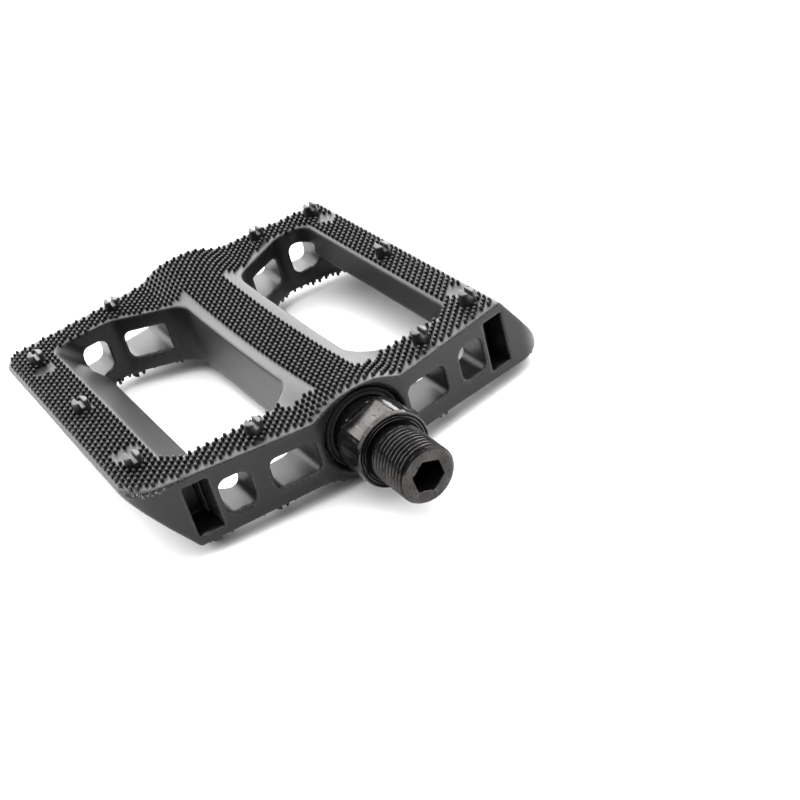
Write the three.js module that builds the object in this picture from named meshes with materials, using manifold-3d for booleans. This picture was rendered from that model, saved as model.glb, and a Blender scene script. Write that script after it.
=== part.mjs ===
// A flat bicycle pedal, the right-hand one of a pair: a moulded platform turning on a steel spindle.
// Millimetres. +X runs along the spindle towards the crank, -Y is the leading edge, +Z is up.
// The origin is on the spindle's axis, at the face of its flange that seats against the crank.
// Half a turn about X brings the platform back onto itself, so either side can face the shoe.
import * as THREE from "three";
import { mergeVertices } from "three/addons/utils/BufferGeometryUtils.js";
import Module from "manifold-3d";

const wasm = await Module();
wasm.setup();

// Platform outline and section
const MIDDLE_X = -63.6; // the platform's middle along the spindle
const HUB_HALF = 50.9; // from the middle to each hub end face
const HUB_FACE_HALF = 12; // half the width of a hub end face
const WALL_SLOPE = 0.15; // how far an end wall falls back for each millimetre away from the hub
const LEAD = 56.5; // reach of the edge that stands out, top front and bottom rear
const TRAIL = 45.2; // reach of the edge that is set back, top rear and bottom front
const CORNER_R = 8.2; // plan radius of the corners on the edges that stand out
const EDGE_Z = 10.3; // half the thickness at the leading edge
const DISH = 1.9; // how much lower the middle of each face is
const DISH_SPAN = 57;
const DISH_POWER = 1.5;
const NOSE = 2; // height of the small upright face under an edge that stands out

// Hub barrel that swells above and below the platform at both ends
const BARREL_R = 12;
const BARREL_WIDEN = 1.3; // its width over its height
const BARREL_LENGTH = 24;

// Windows, as offsets from the platform's middle and distances from the spindle
const BAR_HALF = 8.8; // half the width of the bar that holds the spindle
const WINDOW_TOP = 44.3; // reach of the front window at the top face
const WINDOW_WAIST = 34; // its reach where the slanted wall ends
const WAIST_Z = -2.7;
const WAIST_DRAFT = 0.29; // how fast it opens again below that
const WINDOW_INNER = 37.8;
const WINDOW_OUTER = 38.8;

// Holes through the end walls and blind pockets in the inboard wall: near and far edge from the spindle
const LARGE_HOLE = { near: 12.9, far: 24.5, half: 4.2, r: 1.6 };
const SMALL_HOLE = { near: 29.4, far: 37.1, half: 4.7, r: 1.6 };
const POCKET = { near: 38.6, far: 44.7, half: 7, r: 0.5 };
const INNER_CUT_X = -31; // how deep the hole cutters reach in from the inboard side
const OUTER_CUT_X = -96; // and from the outboard side
const POCKET_FLOOR_X = -27;

// Pins moulded on both faces. The tips of both rows are level, so that the pedal stands steady on them.
const PIN_R = 2.2;
const PIN_FOOT_R = 2.7;
const PIN_SLOT = 1.1;
const PIN_SLOT_DEPTH = 1.5;
const PIN_ROOT = 1.2; // how far a pin's solid goes into the platform
const LEAD_ROW = { y: -49.5, spread: 33, tip: 13.5 };
const TRAIL_ROW = { y: 40, spread: 39.8, tip: 13.5 };
const SIDE_PINS = { y: 23.2, spread: 43.4, tip: 12.6 };

// Spindle
const THREAD_R = 7.14; // 9/16 inch by 20 threads
const THREAD_END_X = 14;
const RELIEF_R = 6.4;
const RELIEF_X = 1.5;
const FLANGE_R = 9.4;
const FLANGE_RECESS = { r: 7.6, depth: 0.3 }; // shallow recess in the flange's face round the thread
const FLANGE_BACK_X = -1;
const FLATS_BACK_X = -9.8;
const ACROSS_FLATS = 15;
const FLATS_TURN = THREE.MathUtils.degToRad(15); // how far the flats are turned from level
const COLLAR_R = 9.5;
const COLLAR_BACK_X = -10.2;
const SEAL_SEAT_R = 8.2;
const SHAFT_R = 5.8;
const SHAFT_END_R = 4.9;
const TAIL_R = 3.97; // 5/16 inch tail that carries the cone, washer and lock nut
const TAIL_X = -102.2;
const SPINDLE_END_X = -111.9;
const KEYWAY_WIDTH = 1.8;
const KEYWAY_DEPTH = 0.9;
const HEX_KEY = 7.2; // across the flats of the socket
const HEX_FLOOR_X = 5;
const HEX_TURN = THREE.MathUtils.degToRad(8.6);

// Ball bearings
const BALL_R = 1.5875; // 1/8 inch balls
const RACE_R = 1.75;
const INNER_BALLS = { x: -19, circle: 7.6, count: 14 };
const OUTER_BALLS = { x: -103.2, circle: 5.95, count: 11 };

// Bores in the platform
const MOUTH_R = 10.9;
const INNER_CUP_R = 9.9;
const OUTER_CUP_R = 8.6;
const GAP = 0.3; // clearance left between pieces that touch on the real pedal
const AXLE_BORE_R = 6.9;
const NUT_BORE_R = 9.5;
const CAP_R = 10.6;
const CAP_SEAT_X = -112.7;

const INNER_FACE_X = MIDDLE_X + HUB_HALF;
const OUTER_FACE_X = MIDDLE_X - HUB_HALF;
const FACETS = 48;
const BEYOND = 6; // how far a cutter runs past what it cuts

const nylon = { color: 0x1b1b1c, roughness: 0.55, metalness: 0 };
const blackSteel = { color: 0x26262a, roughness: 0.3, metalness: 0.9 };
const bearingSteel = { color: 0x9a9c9e, roughness: 0.25, metalness: 1 };
const rubber = { color: 0x101010, roughness: 0.8, metalness: 0 };

// ---- helpers ----

// A closed geometry as a manifold solid.
function solid(geometry) {
  const bare = geometry.clone();
  bare.deleteAttribute("normal");
  bare.deleteAttribute("uv");
  const merged = mergeVertices(bare);
  const index = merged.index.array;
  const kept = [];
  for (let i = 0; i < index.length; i += 3) {
    const [a, b, c] = index.slice(i, i + 3);
    if (a !== b && b !== c && c !== a) kept.push(a, b, c);
  }
  const vertProperties = new Float32Array(merged.attributes.position.array);
  return new wasm.Manifold(new wasm.Mesh({ numProp: 3, vertProperties, triVerts: new Uint32Array(kept) }));
}

// A manifold solid as a geometry.
function geometryOf(made) {
  const mesh = made.getMesh();
  const flat = new THREE.BufferGeometry();
  flat.setAttribute("position", new THREE.BufferAttribute(mesh.vertProperties, 3));
  flat.setIndex(new THREE.BufferAttribute(mesh.triVerts, 1));
  const faceted = flat.toNonIndexed();
  faceted.computeVertexNormals();
  return faceted;
}

// A closed polygon whose corners are [x, y, radius].
function roundedShape(corners) {
  const shape = new THREE.Shape();
  corners.forEach(([x, y, r], i) => {
    const here = new THREE.Vector2(x, y);
    const toLast = new THREE.Vector2(...corners.at(i - 1).slice(0, 2)).sub(here).normalize();
    const toNext = new THREE.Vector2(...corners[(i + 1) % corners.length].slice(0, 2)).sub(here).normalize();
    const half = Math.acos(toLast.dot(toNext)) / 2;
    const centre = toLast.clone().add(toNext).setLength(r / Math.sin(half)).add(here);
    const from = toLast.clone().multiplyScalar(r / Math.tan(half)).add(here).sub(centre);
    const to = toNext.clone().multiplyScalar(r / Math.tan(half)).add(here).sub(centre);
    shape.absarc(centre.x, centre.y, r, from.angle(), to.angle(), toLast.cross(toNext) > 0);
  });
  shape.closePath();
  return shape;
}

// A shape drawn in X and Y, standing from z0 to z1.
function upright(shape, z0, z1, options = {}) {
  const geometry = new THREE.ExtrudeGeometry(shape, {
    depth: z1 - z0,
    bevelEnabled: false,
    curveSegments: 3,
    ...options,
  });
  return geometry.translate(0, 0, z0);
}

// A shape drawn in Y and Z, running along X from x0 to x1.
function alongX(shape, x0, x1, options = {}) {
  const turn = new THREE.Matrix4().makeBasis(
    new THREE.Vector3(0, 1, 0),
    new THREE.Vector3(0, 0, 1),
    new THREE.Vector3(1, 0, 0),
  );
  return upright(shape, 0, x1 - x0, options).applyMatrix4(turn).translate(x0, 0, 0);
}

// A profile of [x, radius] points, from outboard to inboard along the outside, turned about X.
function turned(profile, facets = FACETS) {
  const points = profile.map(([x, r]) => new THREE.Vector2(r, x));
  return new THREE.LatheGeometry(points, facets).rotateZ(-Math.PI / 2);
}

// A closed profile turned about X into a ring.
function turnedRing(profile, facets = FACETS) {
  return turned([...profile, profile[0]], facets);
}

// Points of a bearing race round a ball's centre, between two angles in degrees, 0 pointing along +X.
function race(balls, from, to, steps = 5) {
  return Array.from({ length: steps + 1 }, (_, i) => {
    const angle = THREE.MathUtils.degToRad(from + ((to - from) * i) / steps);
    return [balls.x + RACE_R * Math.cos(angle), balls.circle + RACE_R * Math.sin(angle)];
  });
}

function halfTurn(geometry) {
  return geometry.clone().rotateX(Math.PI);
}

function piece(name, made, look) {
  const geometry = made.isBufferGeometry ? geometryOf(solid(made)) : geometryOf(made);
  const mesh = new THREE.Mesh(geometry, new THREE.MeshStandardMaterial({ ...look, flatShading: true }));
  mesh.name = name;
  return mesh;
}

// ---- platform ----

// Height of the dished top face at a distance from the spindle.
function faceZ(y) {
  return EDGE_Z - DISH * (1 - (Math.abs(y) / DISH_SPAN) ** DISH_POWER);
}

function wallX(y) {
  return HUB_HALF + WALL_SLOPE * (HUB_FACE_HALF - Math.abs(y));
}

// Section across the spindle: a slab with two slanted ends and a dished face each side.
function slabSection() {
  const strips = 12;
  const face = Array.from({ length: strips + 1 }, (_, i) => {
    const y = -LEAD + ((LEAD + TRAIL) * i) / strips;
    return new THREE.Vector2(y, faceZ(y));
  });
  const half = [new THREE.Vector2(-LEAD, faceZ(LEAD) - NOSE), ...face];
  return new THREE.Shape([...half, ...half.map((p) => p.clone().negate())]);
}

function planOutline() {
  const half = [
    [MIDDLE_X + HUB_HALF, HUB_FACE_HALF, 1],
    [MIDDLE_X + wallX(LEAD), LEAD, CORNER_R],
    [MIDDLE_X - wallX(LEAD), LEAD, CORNER_R],
    [MIDDLE_X - HUB_HALF, HUB_FACE_HALF, 1],
  ];
  return roundedShape([...half, ...half.map(([x, y, r]) => [x, -y, r]).reverse()]);
}

function barrels() {
  const inner = [
    [INNER_FACE_X - BARREL_LENGTH, 0],
    [INNER_FACE_X - BARREL_LENGTH, BARREL_R - 4],
    [INNER_FACE_X - BARREL_LENGTH + 6, BARREL_R - 2.4],
    [INNER_FACE_X - BARREL_LENGTH + 12, BARREL_R - 0.8],
    [INNER_FACE_X - BARREL_LENGTH + 17, BARREL_R - 0.2],
    [INNER_FACE_X + 1, BARREL_R],
    [INNER_FACE_X + 1, 0],
  ];
  const outer = inner.map(([x, r]) => [2 * MIDDLE_X - x, r]).reverse();
  return [inner, outer].map((profile) => solid(turned(profile, 40).scale(1, BARREL_WIDEN, 1)));
}

// The front window's cutter. Its front wall slants from the top face in to the waist, then out a little.
function windowCutter() {
  const outline = roundedShape([
    [MIDDLE_X + 31.4, -BAR_HALF, 6],
    [MIDDLE_X + WINDOW_INNER + 0.2, -16.4, 5],
    [MIDDLE_X + WINDOW_INNER - 0.4, -WINDOW_TOP, 6.5],
    [MIDDLE_X - WINDOW_OUTER + 2, -WINDOW_TOP, 5],
    [MIDDLE_X - WINDOW_OUTER, -26.5, 6],
    [MIDDLE_X - 29.2, -BAR_HALF, 7],
  ]);
  const reach = EDGE_Z + BEYOND;
  const cutter = upright(outline, -reach, reach, { steps: 2 });
  const slant = (WINDOW_TOP - WINDOW_WAIST) / (faceZ(WINDOW_TOP) - WAIST_Z);
  const position = cutter.attributes.position;
  for (let i = 0; i < position.count; i += 1) {
    const z = Math.abs(position.getZ(i)) < 1 ? WAIST_Z : position.getZ(i);
    const below = WAIST_DRAFT * Math.max(0, WAIST_Z - z);
    const front = WINDOW_WAIST + slant * Math.max(0, z - WAIST_Z) + below;
    const share = (front - BAR_HALF) / (WINDOW_TOP - BAR_HALF);
    const y = -BAR_HALF + (position.getY(i) + BAR_HALF) * share;
    position.setXYZ(i, position.getX(i), y, z);
  }
  return cutter;
}

// A rounded opening in an end wall, on the leading side of the spindle.
function wallCutter({ near, far, half, r }, x0, x1) {
  const outline = roundedShape([
    [-far, -half, r],
    [-near, -half, r],
    [-near, half, r],
    [-far, half, r],
  ]);
  return alongX(outline, x0, x1);
}

function boreCutter() {
  return turned([
    [OUTER_FACE_X - BEYOND, 0],
    [OUTER_FACE_X - BEYOND, CAP_R + GAP],
    [CAP_SEAT_X, CAP_R + GAP],
    [CAP_SEAT_X, NUT_BORE_R],
    [OUTER_BALLS.x - 2.6, NUT_BORE_R],
    [OUTER_BALLS.x - 2.6, OUTER_CUP_R + GAP],
    [OUTER_BALLS.x + 3.1, OUTER_CUP_R + GAP],
    [OUTER_BALLS.x + 3.1, AXLE_BORE_R],
    [INNER_BALLS.x - 2.9, AXLE_BORE_R],
    [INNER_BALLS.x - 2.9, INNER_CUP_R + GAP],
    [INNER_FACE_X - 1.6, INNER_CUP_R + GAP],
    [INNER_FACE_X, MOUTH_R],
    [INNER_FACE_X + BEYOND, MOUTH_R],
    [INNER_FACE_X + BEYOND, 0],
  ]);
}

// One moulded pin on the top face: a short tapered stud whose tip is split along X.
function pin({ x, y, tip }) {
  const foot = faceZ(y) - PIN_ROOT;
  const stud = new THREE.CylinderGeometry(PIN_R, PIN_FOOT_R, tip - foot, 14).rotateX(Math.PI / 2);
  stud.translate(x, y, (foot + tip) / 2);
  const slot = new THREE.BoxGeometry(4 * PIN_R, PIN_SLOT, 2 * PIN_SLOT_DEPTH).translate(x, y, tip);
  return solid(stud).subtract(solid(slot));
}

function pinPlaces() {
  const places = [];
  for (const { y, spread, tip } of [LEAD_ROW, TRAIL_ROW]) {
    for (const u of [-spread, 0, spread]) places.push({ x: MIDDLE_X + u, y, tip });
  }
  const { y, spread, tip } = SIDE_PINS;
  for (const u of [-spread, spread]) {
    places.push({ x: MIDDLE_X + u, y, tip }, { x: MIDDLE_X + u, y: -y, tip });
  }
  return places;
}

function platform() {
  const reach = BARREL_R + BEYOND;
  let made = solid(alongX(slabSection(), OUTER_FACE_X - BEYOND, INNER_FACE_X + BEYOND));
  for (const barrel of barrels()) made = made.add(barrel);
  made = made.intersect(solid(upright(planOutline(), -reach, reach)));

  const cutters = [
    windowCutter(),
    ...[LARGE_HOLE, SMALL_HOLE].map((hole) => wallCutter(hole, INNER_CUT_X, 0)),
    ...[LARGE_HOLE, SMALL_HOLE].map((hole) => wallCutter(hole, OUTER_FACE_X - BEYOND, OUTER_CUT_X)),
    wallCutter(POCKET, POCKET_FLOOR_X, 0),
  ];
  for (const cutter of cutters) made = made.subtract(solid(cutter)).subtract(solid(halfTurn(cutter)));
  made = made.subtract(solid(boreCutter()));

  for (const place of pinPlaces()) {
    const top = pin(place);
    made = made.add(top).add(solid(halfTurn(geometryOf(top))));
  }
  return piece("platform", made, nylon);
}

// ---- spindle ----

function spindle() {
  const body = turned([
    [SPINDLE_END_X, 0],
    [SPINDLE_END_X, TAIL_R - 0.5],
    [SPINDLE_END_X + 0.5, TAIL_R],
    [TAIL_X, TAIL_R],
    [TAIL_X, SHAFT_END_R],
    [INNER_BALLS.x - 12, SHAFT_END_R + 0.4],
    [INNER_BALLS.x - 4, SHAFT_R],
    ...race(INNER_BALLS, 270, 345),
    [INNER_BALLS.x + 2.2, SEAL_SEAT_R],
    [COLLAR_BACK_X - 1, SEAL_SEAT_R],
    [COLLAR_BACK_X, COLLAR_R],
    [FLANGE_BACK_X - 0.3, COLLAR_R],
    [FLANGE_BACK_X - 0.3, FLANGE_R],
    [0, FLANGE_R],
    [0, FLANGE_RECESS.r],
    [-FLANGE_RECESS.depth, FLANGE_RECESS.r],
    [-FLANGE_RECESS.depth, RELIEF_R],
    [RELIEF_X, RELIEF_R],
    [RELIEF_X + 0.6, THREAD_R],
    [THREAD_END_X - 0.9, THREAD_R],
    [THREAD_END_X, THREAD_R - 0.9],
    [THREAD_END_X, 0],
  ]);
  let made = solid(body);

  const flatLength = FLANGE_BACK_X - FLATS_BACK_X;
  for (const side of [-1, 1]) {
    const cut = new THREE.BoxGeometry(flatLength, 4 * COLLAR_R, COLLAR_R);
    cut.translate((FLANGE_BACK_X + FLATS_BACK_X) / 2, 0, side * (ACROSS_FLATS + COLLAR_R) * 0.5);
    made = made.subtract(solid(cut.rotateX(FLATS_TURN)));
  }

  const socketLength = THREAD_END_X - HEX_FLOOR_X + BEYOND;
  const socket = new THREE.CylinderGeometry(HEX_KEY / Math.sqrt(3), HEX_KEY / Math.sqrt(3), socketLength, 6);
  socket.rotateZ(-Math.PI / 2).rotateX(HEX_TURN).translate(HEX_FLOOR_X + socketLength / 2, 0, 0);
  made = made.subtract(solid(socket));

  const keyway = new THREE.BoxGeometry(TAIL_X - SPINDLE_END_X, KEYWAY_WIDTH, 2 * KEYWAY_DEPTH);
  keyway.translate((TAIL_X + SPINDLE_END_X) / 2 - 1, 0, TAIL_R);
  made = made.subtract(solid(keyway));
  return piece("spindle", made, blackSteel);
}

// ---- seal, bearings and fasteners inside the hub ----

function dustSeal() {
  const back = INNER_FACE_X - 2.6;
  const front = INNER_FACE_X - 0.7;
  const lip = SEAL_SEAT_R + GAP;
  const ring = turnedRing([
    [back, lip],
    [back, INNER_CUP_R],
    [front - 0.7, INNER_CUP_R],
    [front, INNER_CUP_R - 0.5],
    [front - 0.5, INNER_CUP_R - 1],
    [front, lip],
  ]);
  return piece("dust_seal", ring, rubber);
}

// A pressed steel cup round the inboard balls, closed on its outboard side.
function inboardCup() {
  const back = INNER_BALLS.x - 2.6;
  const ring = turnedRing([
    [back, AXLE_BORE_R - 0.4],
    [back, INNER_CUP_R],
    [INNER_BALLS.x + 2, INNER_CUP_R],
    [INNER_BALLS.x + 2, INNER_BALLS.circle + RACE_R],
    ...race(INNER_BALLS, 90, 185),
  ]);
  return piece("inboard_cup", ring, bearingSteel);
}

// The outboard cup is the same kind of cup facing the other way.
function outboardCup() {
  const back = OUTER_BALLS.x + 2.8;
  const ring = turnedRing([
    ...race(OUTER_BALLS, -5, 90),
    [OUTER_BALLS.x - 2, OUTER_BALLS.circle + RACE_R],
    [OUTER_BALLS.x - 2, OUTER_CUP_R],
    [back, OUTER_CUP_R],
    [back, SHAFT_END_R + 0.6],
    [OUTER_BALLS.x + RACE_R, SHAFT_END_R + 0.6],
  ]);
  return piece("outboard_cup", ring, bearingSteel);
}

function ballSet(side, { x, circle, count }) {
  return Array.from({ length: count }, (_, i) => {
    const ball = piece(`${side}_ball_${i + 1}`, new THREE.SphereGeometry(BALL_R, 8, 6), bearingSteel);
    const angle = (2 * Math.PI * i) / count;
    ball.position.set(x, circle * Math.cos(angle), circle * Math.sin(angle));
    return ball;
  });
}

function axleCone() {
  const bore = TAIL_R + GAP;
  const back = OUTER_BALLS.x - 4.2;
  const ring = turnedRing([
    [back, bore],
    [back, 5.6],
    [OUTER_BALLS.x - 1.75, 5.6],
    ...race(OUTER_BALLS, 195, 262),
    [OUTER_BALLS.x - 0.24, bore],
  ]);
  return piece("axle_cone", ring, bearingSteel);
}

function ringShape(r) {
  return new THREE.Shape().absarc(0, 0, r, 0, 2 * Math.PI);
}

function withHole(shape, r) {
  shape.holes.push(new THREE.Path().absarc(0, 0, r, 0, 2 * Math.PI, true));
  return shape;
}

// A thin washer with a tab that sits in the spindle's keyway.
function keyedWasher() {
  const x1 = OUTER_BALLS.x - 4.2 - GAP;
  const x0 = x1 - 0.9;
  const disc = solid(alongX(withHole(ringShape(6.3), TAIL_R + GAP), x0, x1, { curveSegments: 16 }));
  const tab = new THREE.BoxGeometry(x1 - x0, KEYWAY_WIDTH - 2 * GAP, 1.1);
  tab.translate((x0 + x1) / 2, 0, TAIL_R + GAP);
  return piece("keyed_washer", disc.add(solid(tab)), bearingSteel);
}

function lockNut() {
  const x1 = OUTER_BALLS.x - 4.2 - 2 * GAP - 0.9;
  const x0 = x1 - 3;
  const corner = 11 / Math.sqrt(3);
  const hexagon = Array.from({ length: 6 }, (_, i) => {
    const angle = (Math.PI * i) / 3;
    return new THREE.Vector2(corner * Math.cos(angle), corner * Math.sin(angle));
  });
  const nut = alongX(withHole(new THREE.Shape(hexagon), TAIL_R + GAP), x0, x1, { curveSegments: 12 });
  return piece("lock_nut", nut, bearingSteel);
}

// The round cap that closes the outboard end of the bore: a shallow dome on a plug.
function endCap() {
  const rim = OUTER_FACE_X + 0.2;
  const cap = turned([
    [rim - 0.9, 0],
    [rim - 0.8, 4],
    [rim - 0.5, 7.5],
    [rim, CAP_R - 0.4],
    [rim + 0.4, CAP_R],
    [CAP_SEAT_X - GAP, CAP_R],
    [CAP_SEAT_X - GAP, NUT_BORE_R - GAP],
    [CAP_SEAT_X + 3, NUT_BORE_R - GAP],
    [CAP_SEAT_X + 3, NUT_BORE_R - 1.6],
    [CAP_SEAT_X, NUT_BORE_R - 1.6],
    [CAP_SEAT_X, 0],
  ]);
  return piece("end_cap", cap, nylon);
}

const pedal = new THREE.Group();
pedal.add(platform(), spindle(), dustSeal(), inboardCup(), outboardCup());
pedal.add(...ballSet("inboard", INNER_BALLS), ...ballSet("outboard", OUTER_BALLS));
pedal.add(axleCone(), keyedWasher(), lockNut(), endCap());

export default pedal;
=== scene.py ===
"""Looks for the flat pedal: a moulded nylon platform with studs and split pins, on a threaded steel spindle.

Shapes are worked out in millimetres in the frame's own axes: +X along the spindle to the crank, -Y the
leading edge, +Z up. The platform comes back onto itself after half a turn about X, so each feature of the
upper face is made once and repeated on the lower face through (x, -y, -z).
"""

import math

import bmesh
import bpy
import numpy as np
import openvdb as vdb
from mathutils import Matrix, Vector


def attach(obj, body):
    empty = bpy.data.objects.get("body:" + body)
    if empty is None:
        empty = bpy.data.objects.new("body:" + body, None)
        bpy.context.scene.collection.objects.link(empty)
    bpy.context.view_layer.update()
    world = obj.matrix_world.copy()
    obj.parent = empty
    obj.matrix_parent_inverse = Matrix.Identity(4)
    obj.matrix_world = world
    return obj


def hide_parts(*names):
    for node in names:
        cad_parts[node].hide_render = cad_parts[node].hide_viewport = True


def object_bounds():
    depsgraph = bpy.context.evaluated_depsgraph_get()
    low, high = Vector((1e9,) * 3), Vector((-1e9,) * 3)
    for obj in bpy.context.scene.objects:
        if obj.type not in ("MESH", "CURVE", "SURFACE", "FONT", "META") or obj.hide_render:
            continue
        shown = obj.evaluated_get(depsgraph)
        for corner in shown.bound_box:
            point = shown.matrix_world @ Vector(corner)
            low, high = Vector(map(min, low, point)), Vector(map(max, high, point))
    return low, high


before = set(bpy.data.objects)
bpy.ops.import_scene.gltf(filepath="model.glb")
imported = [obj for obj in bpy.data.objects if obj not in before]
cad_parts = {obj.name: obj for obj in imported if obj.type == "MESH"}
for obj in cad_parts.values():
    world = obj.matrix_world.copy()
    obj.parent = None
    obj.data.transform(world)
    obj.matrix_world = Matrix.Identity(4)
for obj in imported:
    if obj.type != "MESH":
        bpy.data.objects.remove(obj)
CAD_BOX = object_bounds()

MM = 0.001
RNG = np.random.default_rng(11)

# Camera, fitted to the photo: angles in degrees, place in metres
CAMERA_AZIMUTH = 65.87
CAMERA_ELEVATION = 33.27
CAMERA_ROLL = -15.68
CAMERA_PLACE = (0.2392, -0.1026, 0.1836)
CAMERA_CLIP = (0.01, 50.0)
FOCAL_LENGTH = 63.29
SENSOR_WIDTH = 36.0

# Studio: the sky is bright on one side and fades to dim on the other, and two softboxes help it
SKY_BRIGHT_SIDE = (-0.74, 0.38, 0.55)
SKY_FADE = (-0.35, 0.85)
SKY_STRENGTH = (0.3, 7.3)
SOFTBOX_SIZE = 0.9
FLOOR_HALF = 4000

# Platform, as the CAD has it. Its upper face reaches from y -LEAD to y TRAIL.
MIDDLE_X = -63.6
HUB_HALF = 50.9  # from the middle to the face of each hub
HUB_FACE_HALF = 12.0
WALL_SLOPE = 0.15  # how fast the end walls draw in, away from the hubs
LEAD = 56.5
TRAIL = 45.2
EDGE_Z = 10.3
DISH = 1.9
DISH_SPAN = 57.0
DISH_POWER = 1.5
NOSE = 2.0  # height of the upright strip under each nose
BAR_HALF = 8.8
INNER_FACE_X = MIDDLE_X + HUB_HALF
OUTER_FACE_X = MIDDLE_X - HUB_HALF

# Front window: how far it reaches at the upper face and at its waist, and how it opens below the waist
WINDOW_TOP = 44.3
WINDOW_WAIST = 34.0
WAIST_Z = -2.7
WAIST_DRAFT = 0.29
WINDOW_BEYOND = 75.0  # past the front wall, for the outline that the wall then cuts
TWIN_REACH = 35.8  # of the rear window at the upper face
WALL_MEETS_SIDE_R = 4.5

# Radii of the platform's corners in plan, and of its edges
LEAD_INBOARD_R = 8.2
LEAD_OUTBOARD_R = 7.0
HUB_CORNER_R = 1.0
RIM_R = 0.4
NOSE_EXTRA_R = 1.1  # added to the rim's radius along the nose
NOSE_FROM_Y = (-48, -53)  # where that starts, and where it is whole
SLANT_R = 0.6
WINDOW_R = 0.5
HOLE_R = 0.4
BORE_R = 0.5

# Ridge over the spindle: it rises towards both hubs and fades out across the bar
RIDGE_RISE = 3.4
RIDGE_SPAN = 47.0
RIDGE_HALF = 13.0

# Openings of the end walls, on the leading side: near and far edge from the hub, half height, corner radius
NEAR_HOLE = (12.9, 24.5, 4.2, 2.0)
FAR_HOLE = (29.4, 37.1, 4.7, 2.4)
POCKET = (38.6, 44.7, 7.0, 0.5)
INBOARD_WALL_X = (-31, -5)
OUTBOARD_WALL_X = (-125, -96)
POCKET_X = (-27, -5)

# Thin rib in the pocket: its two sides, its free edge and its foot
RIB_SIDES = (39.2, 39.7)
RIB_EDGE_X = -22.5
RIB_FOOT_Z = -5.5

# Stretches of the bore through the hub: from x, to x, radius
BORE = [
    (OUTER_FACE_X - 6, -112.7, 10.9),
    (-113, -105.8, 9.5),
    (-106, -100.1, 8.9),
    (-101, -21.9, 6.9),
    (-21.9, -11.0, 10.2),
]

# Flared mouth of the bore: radius at its inner end, flare, depth, and the slope's length for each mm of depth
MOUTH_R = 10.25
MOUTH_FLARE = 0.38
MOUTH_DEPTH = 2.5
MOUTH_SLOPE_LENGTH = 1.07

# Stud lattice: pitch along X, and rows half a pitch apart, every other one shifted by half a pitch
STUD_PITCH = 2.28
STUD_ROWS = 50  # on each side of the spindle's axis
STUD_COLUMNS = 23  # on each side of the middle
STUD_R = 0.49
STUD_HEIGHT = 1.08
STUD_ROOT = 0.7  # below the face
STUD_SIDES = 6
STUD_LUCK = (0.93, 1.05)  # each stud's height varies by this factor

# How far a stud's middle keeps from the outline, the end walls, the trailing edge and the windows
FROM_OUTLINE = 1.12
FROM_WALL = 1.5
FROM_TRAIL = 1.2
FROM_WINDOW = 0.62
FROM_TWIN = 0.75

# Smooth face beside the strip of studs on the bar, out to a slanted line at each hub. The outboard line is a
# table of distances from the axis and of x from the middle.
STRIP_HALF = 5.3
SMOOTH_HALF = 14
SMOOTH_INBOARD = 41.6
SMOOTH_INBOARD_FROM = 5.45
SMOOTH_INBOARD_SLANT = 0.235
SMOOTH_OUTBOARD = ((5.3, 9.5, 12.0), (-33.4, -31.4, -30.4))

# Bare oval marks in the upper stud field: x, y, half length along x, half width along y
BARE_MARKS = [
    (-37.0, -49.5, 2.3, 3.2),
    (-91.5, -49.3, 2.3, 2.8),
    (-31.5, 41.5, 2.4, 2.4),
    (-98.0, 42.0, 2.4, 2.4),
]
MARK_DEPTH = 0.16
MARK_FADE = (0.55, 1.1)  # where the hollow's slope starts and ends, as shares of the half size
FROM_MARK = 0.3  # added to the half sizes to keep studs off
FROM_PIN = 0.05

# Pins on the upper face: x from the middle, y, tip height
PINS = [(u, -49.5, 13.5) for u in (-33.0, 0.0, 33.0)]
PINS += [(u, 40.0, 13.5) for u in (-39.8, 0.0, 39.8)]
PINS += [(u, y, 12.6) for u in (-43.4, 43.4) for y in (-23.2, 23.2)]

# One pin: a post that widens to its foot, with a slot across its tip
PIN_R = 2.0
PIN_FOOT_R = 2.2
PIN_TAPER = 4
PIN_LENGTH = 5.2
PIN_FALL = 0.24  # how fast each half's top falls away outwards
PIN_FALL_LENGTH = 1.03  # the slope's length for each mm outwards
PIN_TIP_R = 0.22
SLOT_HALF = 0.55
SLOT_DEPTH = 1.5
SLOT_DRAFT = 0.06
SLOT_R = 0.12

# Spindle, as the CAD has it, with the thread 20 to the inch and right-handed
SPINDLE_FACETS = 144
KEY_HALF = 3.6  # half the key socket across its flats
KEY_TURN = 8.6
THREAD_PITCH = 1.27
THREAD_CREST = 7.14
THREAD_DEPTH = 0.8
THREAD_STEP = 0.075
CREST_SHARE = 0.14  # of the pitch is flat on the crest
FLANK_SHARE = 0.7  # of the pitch is flank
ROOT_ROUND = 0.10  # how much the lower half of each flank bulges towards the root
LEAD_IN = (13.95, 6.42)  # x and radius where the thread starts
LEAD_IN_SLOPE = 1.4
RUN_OUT = (0.9, 6.4)  # x and radius where it ends
RUN_OUT_SLOPE = 1.1
FLATS_HALF = 7.5
FLATS_TURN = 105
COLLAR_R = 9.5
RACE_R = 1.75
INNER_BALLS = (-19.0, 7.6)  # x, and radius of the circle through the balls' middles
TAIL_R = 3.97
KEYWAY_HALF = 0.9
KEYWAY_R = 3.07

# Scales of the materials' noises, in cells to the metre
FLOW_MARKS = 70
CLOUDS = 420
SCUFFS = 2600
TORN_SPECKS = 1500
MOULD_GRAIN = 9000
TURNED_RINGS = 700
SMUDGES = 160
SCRATCHES = 260
PITS = 1300
RUBBER_GRAIN = 1900
RUBBER_DUST = 240
PAPER_TONE = 9

# Torn skin round the leading inboard corner: height, half width and its fade, and the turns in radians over
# which it starts and stops
TORN_Z = 9.05
TORN_HALF = (0.35, 0.75)
TORN_STARTS = (-0.35, 0.1)
TORN_STOPS = (1.0, 1.5)
TORN_OUTSIDE_R = 7  # from the corner's middle, so that it stays off the window

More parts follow.
